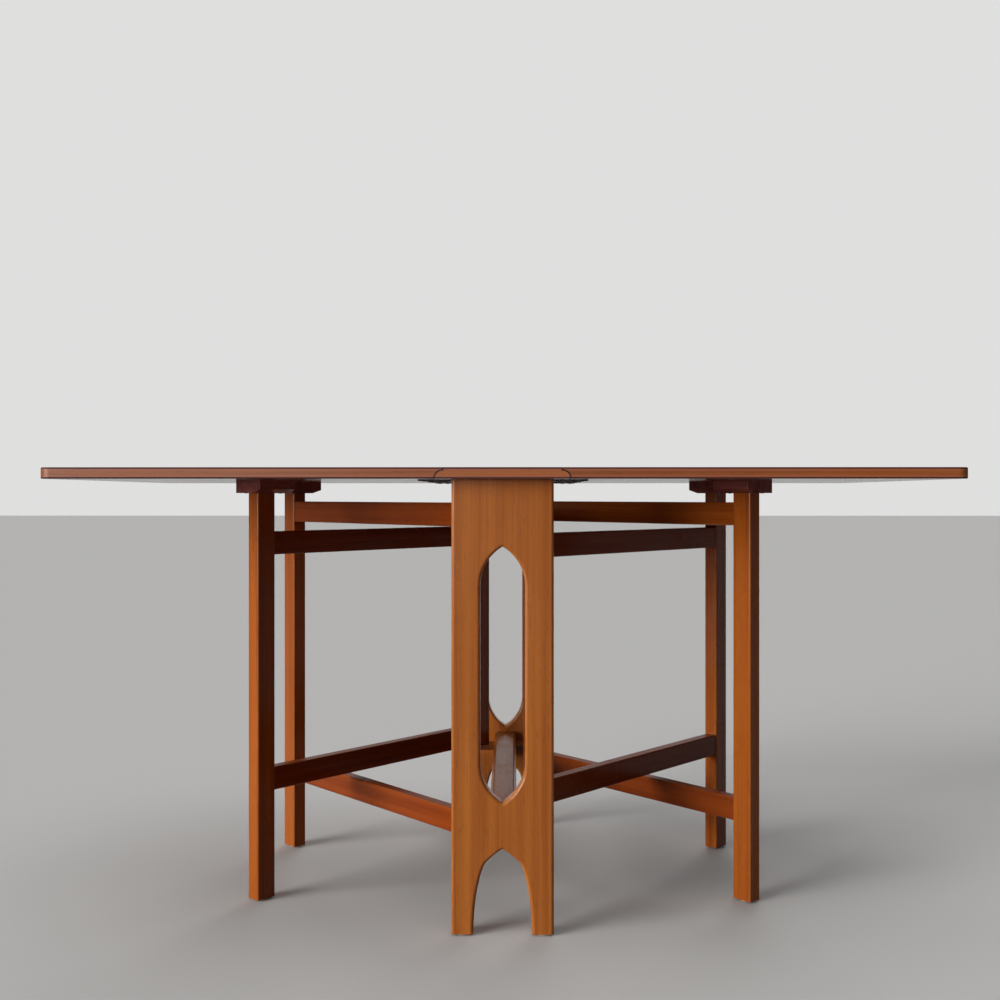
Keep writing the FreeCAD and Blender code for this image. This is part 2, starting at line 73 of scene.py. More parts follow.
class GrainRun(Enum):
    """Which way the fibres of a board run."""

    UPRIGHT = "upright"
    ACROSS = "across"
    DEEP = "deep"
    TURNED = "turned"

    def rotation(self, turn: float) -> Axes:
        """The rotation that brings the fibres along X.

        Args:
            turn: Angle of the board's length from +X about the vertical, in radians.

        Returns:
            The angles about the three axes, in radians.
        """
        if self is GrainRun.UPRIGHT:
            return 0.0, QUARTER_TURN, 0.0
        level = {GrainRun.ACROSS: 0.0, GrainRun.DEEP: -QUARTER_TURN, GrainRun.TURNED: -turn}
        return 0.0, 0.0, level[self]


@dataclass(frozen=True)
class WoodFinish:
    """A stained and lacquered wood.

    Attributes:
        name: Stem of the material names.
        pale: Colour of the light bands.
        deep: Colour of the dark bands.
        pore: Colour of the open pores.
        worn_and_sheen: Colour of the rubbing on rounded edges, which also serves there as a painted
            highlight.
        rough_low: Roughness of the glossiest lacquer.
        rough_high: Roughness of the dullest lacquer.
        wear_and_sheen: How strongly the rounded edges show rubbing and the painted highlight.
        specular: Level of the lacquer's reflection.
        under_share: Share of the roughness that is left on faces that look down.
    """

    name: str
    pale: Colour
    deep: Colour
    pore: Colour
    worn_and_sheen: Colour
    rough_low: float = 0.17
    rough_high: float = 0.3
    wear_and_sheen: float = 0.55
    specular: float = 0.3
    under_share: float = 1.0


@dataclass(frozen=True)
class FilmFinish:
    """A metal or a plastic with a mottled surface film.

    Attributes:
        name: Material name.
        base: Colour of the film.
        bare: Colour where the film is rubbed through.
        metallic: How metallic the film is.
        rough: Middle roughness.
    """

    name: str
    base: Colour
    bare: Colour
    metallic: float
    rough: float


TOP_WOOD = WoodFinish(
    "top_lacquer", pale=(0.345, 0.1, 0.018), deep=(0.19, 0.047, 0.008),
    pore=(0.07, 0.016, 0.005), worn_and_sheen=(0.44, 0.18, 0.06),
    rough_low=0.33, rough_high=0.44, wear_and_sheen=0.06, under_share=0.3)
PANEL_WOOD = WoodFinish(
    "panel_lacquer", pale=(0.45, 0.143, 0.025), deep=(0.295, 0.079, 0.013),
    pore=(0.12, 0.03, 0.007), worn_and_sheen=(0.56, 0.25, 0.09), wear_and_sheen=0.4, specular=0.2)
GATE_WOOD = WoodFinish(
    "gate_lacquer", pale=(0.4, 0.102, 0.012), deep=(0.23, 0.046, 0.006),
    pore=(0.08, 0.016, 0.004), worn_and_sheen=(0.5, 0.2, 0.07), specular=0.16)
# The rails' wood is the gate wood made darker and redder: painted shade for the rails that sit
# under the top.
SHADED_RAIL_WOOD = WoodFinish(
    "rail_shaded_lacquer", pale=(0.275, 0.053, 0.0075), deep=(0.16, 0.0265, 0.004),
    pore=(0.07, 0.014, 0.004), worn_and_sheen=(0.46, 0.16, 0.05), specular=0.1)
HIDDEN_WOOD = WoodFinish(
    "inner_lacquer", pale=(0.27, 0.075, 0.013), deep=(0.16, 0.037, 0.007),
    pore=(0.07, 0.016, 0.005), worn_and_sheen=(0.38, 0.15, 0.05), wear_and_sheen=0.25)
BEARER_WOOD = WoodFinish(
    "bearer_stain", pale=(0.32, 0.1, 0.088), deep=(0.16, 0.045, 0.038),
    pore=(0.04, 0.01, 0.008), worn_and_sheen=(0.36, 0.15, 0.1), wear_and_sheen=0.25, specular=0.1)
HINGE_METAL = FilmFinish(
    "hinge_bronze", base=(0.022, 0.019, 0.016), bare=(0.16, 0.12, 0.08), metallic=0.75, rough=0.42)
SCREW_METAL = FilmFinish(
    "screw_steel", base=(0.075, 0.066, 0.058), bare=(0.36, 0.33, 0.29), metallic=0.9, rough=0.36)
PIN_METAL = FilmFinish(
    "pivot_steel", base=(0.32, 0.31, 0.3), bare=(0.5, 0.49, 0.47), metallic=0.95, rough=0.32)
GLIDE_PLASTIC = FilmFinish(
    "glide_nylon", base=(0.52, 0.46, 0.38), bare=(0.3, 0.25, 0.2), metallic=0.0, rough=0.6)


@dataclass(frozen=True)
class NoiseLayer:
    """One layer of smooth noise.

    Attributes:
        scale: How finely it changes along each axis, per metre.
        detail: How many finer layers it holds.
        rough: How strong the finer layers are.
    """

    scale: Axes
    detail: float
    rough: float = 0.55


@dataclass(frozen=True)
class GrainLook:
    """How wood is drawn, with its fibres along X.

    Attributes:
        drift: Slow noise that bends the bands and streaks.
        bend_m: How far it bends them.
        bands: Broad bands.
        streaks: Fine streaks.
        clouds: Wide changes of tone.
        threads: The finest lines.
        pores: Short open pores.
        smear: Unevenness of the lacquer.
        band_share: Weight of the bands in the tone.
        streak_share: Weight of the streaks in the tone.
        cloud_share: Weight of the clouds in the tone.
        thread_share: Weight of the threads in the tone.
        tones: Tones that show the dark and the light colour.
        pore_ends: Noise at which a pore begins and is full.
        smear_ends: Noise at which the lacquer is glossiest and dullest.
        pore_tint: How strongly a pore is coloured.
        pore_rough: How much duller a pore is.
        streak_height: Height of the streaks in the bump.
        pore_depth: Depth of the pores in the bump.
    """

    drift: NoiseLayer = NoiseLayer((2.2, 7.0, 7.0), 2.0)
    bend_m: float = 0.012
    bands: NoiseLayer = NoiseLayer((0.55, 58.0, 58.0), 3.0, 0.5)
    streaks: NoiseLayer = NoiseLayer((2.4, 300.0, 300.0), 3.0)
    clouds: NoiseLayer = NoiseLayer((1.6, 4.5, 4.5), 2.0)
    threads: NoiseLayer = NoiseLayer((12.0, 900.0, 900.0), 2.0, 0.5)
    pores: NoiseLayer = NoiseLayer((42.0, 1150.0, 1150.0), 1.0, 0.4)
    smear: NoiseLayer = NoiseLayer((9.0, 14.0, 14.0), 4.0, 0.6)
    band_share: float = 0.55
    streak_share: float = 0.3
    cloud_share: float = 0.28
    thread_share: float = 0.12
    tones: Ends = (0.42, 0.8)
    pore_ends: Ends = (0.66, 0.74)
    smear_ends: Ends = (0.3, 0.72)
    pore_tint: float = 0.6
    pore_rough: float = 0.1
    streak_height: float = 0.5
    pore_depth: float = 0.6


@dataclass(frozen=True)
class RubAndSheenLook:
    """How the rounded edges of a board show rubbing and a painted highlight.

    Attributes:
        patches: Noise that breaks up the rubbing and the painted highlight.
        patch_ends: Noise at which a patch begins and is full.
        flat_ends: Largest part of a normal on the rounding and on a flat face.
    """

    patches: NoiseLayer = NoiseLayer((14.0, 40.0, 40.0), 4.0, 0.65)
    patch_ends: Ends = (0.34, 0.68)
    flat_ends: Ends = (0.74, 0.985)


@dataclass(frozen=True)
class FilmLook:
    """How a film on metal or plastic is mottled and scratched.

    Attributes:
        spots: Noise of the mottling.
        scratches: Noise of the scratches.
        spot_ends: Noise at which a spot begins and is bare.
        scratch_ends: Noise at which a scratch begins and is bare.
        scratch_share: How bare a scratch is beside a spot.
        bare_share: How far the bare colour shows.
        middle: Noise at which the roughness is the middle one.
        rough_swing: How much the roughness follows the spots.
    """

    spots: NoiseLayer = NoiseLayer((240.0, 240.0, 240.0), 4.0, 0.62)
    scratches: NoiseLayer = NoiseLayer((60.0, 1400.0, 900.0), 2.0)
    spot_ends: Ends = (0.6, 0.8)
    scratch_ends: Ends = (0.62, 0.72)
    scratch_share: float = 0.5
    bare_share: float = 0.5
    middle: float = 0.5
    rough_swing: float = 0.4


class NodeSheet:
    """A node tree that is filled node by node."""

    def __init__(self, tree: bpy.types.NodeTree) -> None:
        """Take the tree that the nodes go into."""
        self.tree = tree

    def add(
            self, kind: str, inputs: dict[Any, Any] | None = None,
            **settings: Any) -> bpy.types.Node:
        """Add one node.

        Args:
            kind: Type name of the node.
            inputs: Socket name or number to a plain value or to an output socket.
            settings: Properties of the node itself.

        Returns:
            The new node.
        """
        node = self.tree.nodes.new(kind)
        for name, value in settings.items():
            setattr(node, name, value)
        for key, value in (inputs or {}).items():
            self.feed(node.inputs[key], value)
        return node

    def feed(self, socket: Socket, value: Any) -> None:
        """Link an output to a socket, or set the socket's own value."""
        if isinstance(value, bpy.types.NodeSocket):
            self.tree.links.new(value, socket)
        elif socket.type == "RGBA" and len(value) == 3:
            socket.default_value = (*value, 1.0)
        else:
            socket.default_value = value

    def math(self, operation: str, first: Any, second: Any = 0.0, clamp: bool = False) -> Socket:
        """One step of arithmetic on two values."""
        inputs = {0: first, 1: second}
        return self.add("ShaderNodeMath", inputs, operation=operation, use_clamp=clamp).outputs[0]

    def times(self, first: Any, second: Any, clamp: bool = False) -> Socket:
        """The product of two values."""
        return self.math("MULTIPLY", first, second, clamp)

    def rest(self, share: Any) -> Socket:
        """What a share leaves of 1."""
        return self.math("SUBTRACT", 1.0, share)

    def largest(self, first: Any, *others: Any) -> Socket:
        """The largest of some values."""
        for other in others:
            first = self.math("MAXIMUM", first, other)
        return first

    def vector(self, **parts: Any) -> Socket:
        """A vector made of its parts x, y and z, where a part that is left out is 0."""
        inputs = {name.upper(): value for name, value in parts.items()}
        return self.add("ShaderNodeCombineXYZ", inputs).outputs[0]

    def parts(self, vector: Any) -> Any:
        """The three parts of a vector, by number."""
        return self.add("ShaderNodeSeparateXYZ", {0: vector}).outputs

    def placed(self, vector: Any, turn: Axes, shift: Axes = (0.0, 0.0, 0.0)) -> Socket:
        """Coordinates that are turned and then shifted."""
        inputs = {"Vector": vector, "Rotation": turn, "Location": shift}
        return self.add("ShaderNodeMapping", inputs).outputs[0]

    def noise(self, vector: Any, layer: NoiseLayer) -> Socket:
        """A layer of smooth noise."""
        inputs = {0: vector, 1: layer.scale}
        scaled = self.add("ShaderNodeVectorMath", inputs, operation="MULTIPLY").outputs[0]
        return self.add("ShaderNodeTexNoise", {
            "Vector": scaled, "Scale": 1.0, "Detail": layer.detail,
            "Roughness": layer.rough}).outputs[0]

    def span(self, value: Any, ends: Ends) -> Socket:
        """A value spread from 0 at the first end to 1 at the second, clamped and eased."""
        inputs = dict(enumerate((value, *ends, 0.0, 1.0)))
        node = self.add("ShaderNodeMapRange", inputs, interpolation_type="SMOOTHSTEP")
        return node.outputs[0]

    def mix(self, share: Any, first: Any, second: Any) -> Socket:
        """Two colours mixed by a share, on the mix node's sockets for colours."""
        inputs = {0: share, 6: first, 7: second}
        return self.add("ShaderNodeMix", inputs, data_type="RGBA").outputs[2]

    def bump(self, height: Socket, strength: float, distance: float) -> Socket:
        """A normal that follows a height."""
        inputs = {"Height": height, "Strength": strength, "Distance": distance}
        return self.add("ShaderNodeBump", inputs).outputs[0]


class EffectGroups:
    """The node groups that more than one finish uses."""

    def __init__(self) -> None:
        """Build each group once."""
        self.grain = self._grain(GrainLook())
        self.rub_and_sheen = self._rub_and_sheen(RubAndSheenLook())
        self.film = self._film(FilmLook())

    @staticmethod
    def _start(
            name: str, inputs: dict[str, str],
            outputs: dict[str, str]) -> tuple[NodeSheet, Any, bpy.types.Node]:
        """Make an empty group with its sockets.

        Args:
            name: Name of the group.
            inputs: Name and socket type of each input.
            outputs: Name and socket type of each output.

        Returns:
            The group's sheet, the outputs of its input node, and its output node.
        """
        tree = bpy.data.node_groups.new(name, "ShaderNodeTree")
        for way, sockets in (("INPUT", inputs), ("OUTPUT", outputs)):
            for label, kind in sockets.items():
                tree.interface.new_socket(label, in_out=way, socket_type=kind)
        sheet = NodeSheet(tree)
        return sheet, sheet.add("NodeGroupInput").outputs, sheet.add("NodeGroupOutput")

    def _grain(self, look: GrainLook) -> bpy.types.NodeTree:
        """Wood along local X: bands, streaks, pores and a lacquer's unevenness."""
        sheet, source, target = self._start(
            "wood_grain",
            {"Vector": VECTOR, "Pale": COLOUR, "Deep": COLOUR, "Pore": COLOUR,
             "Gloss rough": NUMBER, "Dull rough": NUMBER},
            {"Color": COLOUR, "Roughness": NUMBER, "Height": NUMBER})
        vector = source["Vector"]
        shift = sheet.times(sheet.noise(vector, look.drift), look.bend_m)
        sway = sheet.vector(y=shift, z=shift)
        bent = sheet.add("ShaderNodeVectorMath", {0: vector, 1: sway}, operation="ADD").outputs[0]
        streaks = sheet.noise(bent, look.streaks)
        pores = sheet.span(sheet.noise(vector, look.pores), look.pore_ends)
        tone = sheet.times(sheet.noise(bent, look.bands), look.band_share)
        for layer, share in ((streaks, look.streak_share),
                             (sheet.noise(vector, look.clouds), look.cloud_share),
                             (sheet.noise(vector, look.threads), look.thread_share)):
            tone = sheet.math("ADD", tone, sheet.times(layer, share))
        shade = sheet.mix(sheet.span(tone, look.tones), source["Deep"], source["Pale"])
        shade = sheet.mix(sheet.times(pores, look.pore_tint), shade, source["Pore"])
        smear = sheet.span(sheet.noise(vector, look.smear), look.smear_ends)
        range_of_rough = sheet.math("SUBTRACT", source["Dull rough"], source["Gloss rough"])
        rough = sheet.math("ADD", source["Gloss rough"], sheet.times(range_of_rough, smear))
        rough = sheet.math("ADD", rough, sheet.times(pores, look.pore_rough))
        height = sheet.math(
            "SUBTRACT", sheet.times(streaks, look.streak_height),
            sheet.times(pores, look.pore_depth))
        for name, socket in (("Color", shade), ("Roughness", rough), ("Height", height)):
            sheet.feed(target.inputs[name], socket)
        return sheet.tree

    def _rub_and_sheen(self, look: RubAndSheenLook) -> bpy.types.NodeTree:
        """A mask of the rounded edges of a straight board, broken up as hands scuff it: rubbing and
        a painted highlight together.
        """
        sheet, source, target = self._start(
            "edge_rub_and_sheen", {"Normal": VECTOR, "Vector": VECTOR, "Amount": NUMBER},
            {"Mask": NUMBER})
        sides = [sheet.math("ABSOLUTE", part) for part in sheet.parts(source["Normal"])]
        slope = sheet.rest(sheet.span(sheet.largest(*sides), look.flat_ends))
        patchy = sheet.span(sheet.noise(source["Vector"], look.patches), look.patch_ends)
        mask = sheet.times(sheet.times(slope, patchy), source["Amount"], clamp=True)
        sheet.feed(target.inputs["Mask"], mask)
        return sheet.tree

    def _film(self, look: FilmLook) -> bpy.types.NodeTree:
        """A mottled film on metal or plastic, with fine scratches."""
        sheet, source, target = self._start(
            "mottled_film",
            {"Vector": VECTOR, "Base": COLOUR, "Bare": COLOUR, "Middle rough": NUMBER},
            {"Color": COLOUR, "Roughness": NUMBER, "Height": NUMBER})
        spots = sheet.noise(source["Vector"], look.spots)
        scratch = sheet.span(sheet.noise(source["Vector"], look.scratches), look.scratch_ends)
        bare = sheet.math(
            "ADD", sheet.span(spots, look.spot_ends), sheet.times(scratch, look.scratch_share))
        shade = sheet.mix(
            sheet.times(bare, look.bare_share, clamp=True), source["Base"], source["Bare"])
        swing = sheet.times(sheet.math("SUBTRACT", spots, look.middle), look.rough_swing)
        rough = sheet.math("ADD", source["Middle rough"], swing, clamp=True)
        for name, socket in (("Color", shade), ("Roughness", rough), ("Height", spots)):
            sheet.feed(target.inputs[name], socket)
        return sheet.tree


class BoardLine:
    """A line that is drawn over a board's grain."""

    def paint(self, sheet: NodeSheet, coords: Socket, normal: Socket, shade: Socket) -> Socket:
        """Lay the line over a colour.

        Args:
            sheet: The material's nodes.
            coords: Place on the board.
            normal: Direction that the board's face looks in.
            shade: The colour so far.

        Returns:
            The colour with the line.
        """
        raise NotImplementedError

    def polish(self, sheet: NodeSheet, coords: Socket, normal: Socket, rough: Socket) -> Socket:
        """Change the roughness along the line, or leave it as it is.

        Args:
            sheet: The material's nodes.
            coords: Place on the board.
            normal: Direction that the board's face looks in.
            rough: The roughness so far.

        Returns:
            The roughness with the line.
        """
        return rough


@dataclass(frozen=True)
class EdgeShadeAndSheen(BoardLine):
    """Painted shade and a painted reflection along the top's thin edges: a dark line of painted
    shade at each rounded arris, with a pink painted reflection inside it.

    Attributes:
        low: Underside of the top.
        high: Upper face of the top.
        rim: Thickness of the dark painted-shade line.
        inner: Depth to which the pink painted reflection reaches.
        rim_shade_tint: Colour of the painted shade.
        inner_sheen_tint: Colour of the painted reflection.
        rim_shade_share: How strongly the painted shade is coloured.
        inner_sheen_share: How strongly the painted reflection is coloured.
        rim_rough: Roughness of the painted-shade line.
        fade: Where a painted line begins and is full, as shares of its depth.
        flat_ends: Upright part of a normal where an edge ends and a level face begins.
    """

    low: float
    high: float
    rim: float = 0.0026
    inner: float = 0.0056
    rim_shade_tint: Colour = (0.05, 0.009, 0.006)
    inner_sheen_tint: Colour = (0.34, 0.095, 0.05)
    rim_shade_share: float = 0.97
    inner_sheen_share: float = 0.6
    rim_rough: float = 0.7
    fade: Ends = (1.2, 0.9)
    flat_ends: Ends = (0.9, 0.995)

    def paint(self, sheet: NodeSheet, coords: Socket, normal: Socket, shade: Socket) -> Socket:
        """Lay the painted reflection and then the painted shade over a colour, on the edges only.
        """
        # The pink band is a painted reflection and the dark rim is painted shade, both on the top's
        # rounded edges.
        for deep, tint, strength in ((self.inner, self.inner_sheen_tint, self.inner_sheen_share),
                                     (self.rim, self.rim_shade_tint, self.rim_shade_share)):
            share = sheet.times(self.layer(sheet, coords, normal, deep), strength)
            shade = sheet.mix(share, shade, tint)
        return shade

    def polish(self, sheet: NodeSheet, coords: Socket, normal: Socket, rough: Socket) -> Socket:
        """Make the painted-shade line duller than the rest."""
        dull = sheet.times(self.layer(sheet, coords, normal, self.rim), self.rim_rough)
        return sheet.largest(rough, dull)

    def layer(self, sheet: NodeSheet, coords: Socket, normal: Socket, deep: float) -> Socket:
        """1 on the edges, nearer to a level face than a depth, and 0 elsewhere."""
        level = sheet.math("SUBTRACT", sheet.parts(coords)[2], (self.low + self.high) / 2)
        half = (self.high - self.low) / 2
        begins, full = (half - deep * share for share in self.fade)
        line = sheet.span(sheet.math("ABSOLUTE", level), (begins, full))
        lean = sheet.math("ABSOLUTE", sheet.parts(normal)[2])
        return sheet.times(line, sheet.rest(sheet.span(lean, self.flat_ends)))


@dataclass(frozen=True)
class JointLine(BoardLine):
    """The dark seam where a leaf's hollow edge meets the centre's rounded one.

    Attributes:
        axis: Distance of the hinge pins from the table's middle.
        level: Height of the pins.
        radius: Radius of the seam round the pins.
        half: Half of the seam's width.
        upright_share: Share of that width in the upright line over the arc.
        tint: Colour of the dust and shade in it.
        tint_share: How strongly it is coloured.
        fade: Where the seam is full and ends, as shares of its half width.
    """

    axis: float
    level: float
    radius: float = 0.01375
    half: float = 0.0014
    upright_share: float = 0.7
    tint: Colour = (0.012, 0.004, 0.003)
    tint_share: float = 0.9
    fade: Ends = (0.6, 1.2)

    def paint(self, sheet: NodeSheet, coords: Socket, normal: Socket, shade: Socket) -> Socket:
        """Lay the seam over a colour: an arc, and above it a short upright line."""
        parts = sheet.parts(coords)
        out = sheet.math("SUBTRACT", sheet.math("ABSOLUTE", parts[0]), self.axis)
        up = sheet.math("SUBTRACT", parts[2], self.level)
        squares = [sheet.math("POWER", side, 2.0) for side in (out, up)]
        reach = sheet.math("SQRT", sheet.math("ADD", *squares))
        arc = self.near(sheet, sheet.math("SUBTRACT", reach, self.radius), self.half)
        arc = sheet.times(arc, sheet.math("GREATER_THAN", out, -self.half))
        upright = self.near(sheet, out, self.half * self.upright_share)
        upright = sheet.times(upright, sheet.math("GREATER_THAN", up, self.radius))
        share = sheet.times(sheet.largest(arc, upright), self.tint_share)
        return sheet.mix(share, shade, self.tint)

    def near(self, sheet: NodeSheet, value: Socket, half: float) -> Socket:
        """1 where a value is close to zero, falling off about a half width."""
        full, ends = (half * share for share in self.fade)
        return sheet.rest(sheet.span(sheet.math("ABSOLUTE", value), (full, ends)))


class FinishBook:
    """Makes the materials and keeps the ones that can be shared.

    Attributes:
        grain_bump: Strength of the wood's bump.
        grain_bump_m: Height of the wood's bump.
        film_bump: Strength of a film's bump.
        film_bump_m: Height of a film's bump.
        board_step_m: How far apart in the wood two boards are cut.
        under_ends: Upright part of a normal where a face begins to look down and does so fully.
        effects: The shared node groups.
        films: Materials of the films so far, by name.
        boards: Number of boards so far.
    """

    grain_bump: float = 0.5
    grain_bump_m: float = 0.00006
    film_bump: float = 0.4
    film_bump_m: float = 0.00003
    board_step_m: Axes = (0.731, 0.417, 0.293)
    under_ends: Ends = (-0.5, -0.95)

    def __init__(self) -> None:
        """Build the shared effects."""
        self.effects = EffectGroups()
        self.films: dict[str, bpy.types.Material] = {}
        self.boards = 0

    @staticmethod
    def start(name: str) -> tuple[bpy.types.Material, NodeSheet, Any]:
        """A new material with its sheet and the inputs of its Principled BSDF."""
        material = bpy.data.materials.new(name)
        material.use_nodes = True
        shader = material.node_tree.nodes["Principled BSDF"]
        return material, NodeSheet(material.node_tree), shader.inputs

    def wood(
            self, finish: WoodFinish, run: GrainRun, turn: float = 0.0,
            lines: tuple[BoardLine, ...] = ()) -> bpy.types.Material:
        """The material of one board, cut from its own stretch of wood.

        Args:
            finish: The stain and lacquer.
            run: Which way the fibres run.
            turn: Angle of the board's length from +X about the vertical, in radians.
            lines: What is drawn over the grain, in order.

        Returns:
            The material.
        """
        self.boards += 1
        material, sheet, shader = self.start("%s_%02d" % (finish.name, self.boards))
        outputs = sheet.add("ShaderNodeTexCoord").outputs
        coords, normal = outputs["Object"], outputs["Normal"]
        flat = (0.0, 0.0, -turn)
        squared = sheet.placed(coords, flat) if run is GrainRun.UPRIGHT else coords
        shift = tuple(step * self.boards for step in self.board_step_m)
        lay = sheet.placed(squared, run.rotation(turn), shift)
        grain = sheet.add("ShaderNodeGroup", {
            "Vector": lay, "Pale": finish.pale, "Deep": finish.deep, "Pore": finish.pore,
            "Gloss rough": finish.rough_low, "Dull rough": finish.rough_high,
        }, node_tree=self.effects.grain).outputs
        rub_and_sheen = sheet.add("ShaderNodeGroup", {
            "Normal": sheet.placed(normal, flat), "Vector": lay, "Amount": finish.wear_and_sheen,
        }, node_tree=self.effects.rub_and_sheen).outputs
        shade, rough = grain["Color"], grain["Roughness"]
        for line in lines:
            shade = line.paint(sheet, coords, normal, shade)
            rough = line.polish(sheet, coords, normal, rough)
        # Paler rounded edges: partly rubbing, partly a painted highlight on the arrises.
        shade = sheet.mix(rub_and_sheen["Mask"], shade, finish.worn_and_sheen)
        if finish.under_share < 1.0:
            looks_down = sheet.span(sheet.parts(normal)[2], self.under_ends)
            lost = sheet.times(looks_down, 1.0 - finish.under_share)
            rough = sheet.times(rough, sheet.rest(lost))
        bump = sheet.bump(grain["Height"], self.grain_bump, self.grain_bump_m)
        for name, value in (("Base Color", shade), ("Roughness", rough), ("Normal", bump),
                            ("Specular IOR Level", finish.specular)):
            sheet.feed(shader[name], value)
        return material

    def film(self, finish: FilmFinish) -> bpy.types.Material:
        """The shared material of a metal or plastic finish."""
        if finish.name in self.films:
            return self.films[finish.name]
        material, sheet, shader = self.start(finish.name)
        coords = sheet.add("ShaderNodeTexCoord").outputs["Object"]
        film = sheet.add("ShaderNodeGroup", {
            "Vector": coords, "Base": finish.base, "Bare": finish.bare,
            "Middle rough": finish.rough,
        }, node_tree=self.effects.film).outputs
        bump = sheet.bump(film["Height"], self.film_bump, self.film_bump_m)
        for name, value in (("Base Color", film["Color"]), ("Roughness", film["Roughness"]),
                            ("Metallic", finish.metallic), ("Normal", bump)):
            sheet.feed(shader[name], value)
        self.films[finish.name] = material
        return material


def middle(node: str) -> Vector:
    """The middle of a solid's box."""
    low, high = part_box(node)
    return (Vector(low) + Vector(high)) / 2


@dataclass
class SubAssembly:
    """A group of fixed solids that are finished together.

    Attributes:
        frame: The loaded frame.
        book: The finishes.
    """

    frame: dict[str, Any]
    book: FinishBook

    @property
    def nodes(self) -> dict[str, bpy.types.Object]:
        """The fixed solids by name."""
        return self.frame["nodes"]

    def named(self, *endings: str) -> list[str]:
        """The solids whose names have one of these endings."""
        return [node for node in self.nodes if node.endswith(endings)]

    def pin(self, joint_name: str) -> Axes:
        """Where a joint's axis is."""
        joints = self.frame["joints"]
        return next(joint["pos_m"] for joint in joints if joint["name"] == joint_name)

    def gate_ways(self) -> dict[str, Vector]:
        """The level direction of each open gate, from its pivot to its leg."""
        ways = {}
        for joint in self.frame["joints"]:
            if joint["name"].endswith("_gate_swing"):
                reach = middle(joint["child"] + "_leg") - Vector(joint["pos_m"])
                ways[joint["child"]] = Vector((reach.x, reach.y, 0.0)).normalized()
        return ways

    def bearer_over(self, gate: str) -> str:
        """The bearer that stands over a gate's leg."""
        leg = middle(gate + "_leg")
        return min(self.named("_bearer"), key=lambda node: (middle(node) - leg).xy.length)

    def dress(self, node: str, material: bpy.types.Material) -> None:
        """Put one material on a solid."""
        slots = self.nodes[node].data.materials
        slots.clear()
        slots.append(material)
        LOG.info("%s wears %s", node, material.name)

    def finish(self) -> None:
        """Give every solid of the group its finish."""
        raise NotImplementedError


@dataclass
class TableTop(SubAssembly):
    """The centre board and the two leaves, veneered along the table's length.

    Attributes:
        boards: The three boards, the centre first.
    """

    boards: tuple[str, ...] = ("centre_top", "left_leaf", "right_leaf")

    def finish(self) -> None:
        """Dress the three boards."""
        low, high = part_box(self.boards[0])
        pin = self.pin("right_leaf_lift")
        # The edge lines are painted shade and a painted reflection; the joint line is the dark seam
        # between the boards.
        lines = (EdgeShadeAndSheen(low[2], high[2]), JointLine(pin[0], pin[2]))
        for board in self.boards:
            self.dress(board, self.book.wood(TOP_WOOD, GrainRun.ACROSS, lines=lines))


@dataclass
class EndFrame(SubAssembly):
    """The two end panels and what joins them.

    Attributes:
        panels: The two panels.
    """

    panels: tuple[str, ...] = ("front_panel", "rear_panel")

    def finish(self) -> None:
        """Dress the panels, stretchers, boards and cleats."""
        for panel in self.panels:
            self.dress(panel, self.book.wood(PANEL_WOOD, GrainRun.UPRIGHT))
        for bar in self.named("_stretcher"):
            self.dress(bar, self.book.wood(HIDDEN_WOOD, GrainRun.DEEP))
        for board in self.named("_pivot_board", "_top_cleat"):
            self.dress(board, self.book.wood(HIDDEN_WOOD, GrainRun.ACROSS))


@dataclass
class Gates(SubAssembly):
    """The four swinging gates and the bearers that they stand under.

    Attributes:
        painted_lit_rail: The rail that keeps the leg's lighter wood as painted light, beside the
            darker painted-shade rails.
    """

    painted_lit_rail: str = "right_rear_gate_upper_rail"

    def finish(self) -> None:
        """Dress each gate, and the bearer over it, along the gate's own direction."""
        for gate, way in self.gate_ways().items():
            turn = math.atan2(way.y, way.x)
            for node in self.named(gate + "_leg", gate + "_stile"):
                self.dress(node, self.book.wood(GATE_WOOD, GrainRun.UPRIGHT, turn))
            for node in self.named(gate + "_upper_rail", gate + "_lower_rail"):
                # One rail keeps the leg's lighter wood as painted light; the others get the darker
                # painted-shade wood.
                finish = GATE_WOOD if node == self.painted_lit_rail else SHADED_RAIL_WOOD
                self.dress(node, self.book.wood(finish, GrainRun.TURNED, turn))
            stain = self.book.wood(BEARER_WOOD, GrainRun.TURNED, turn)
            self.dress(self.bearer_over(gate), stain)


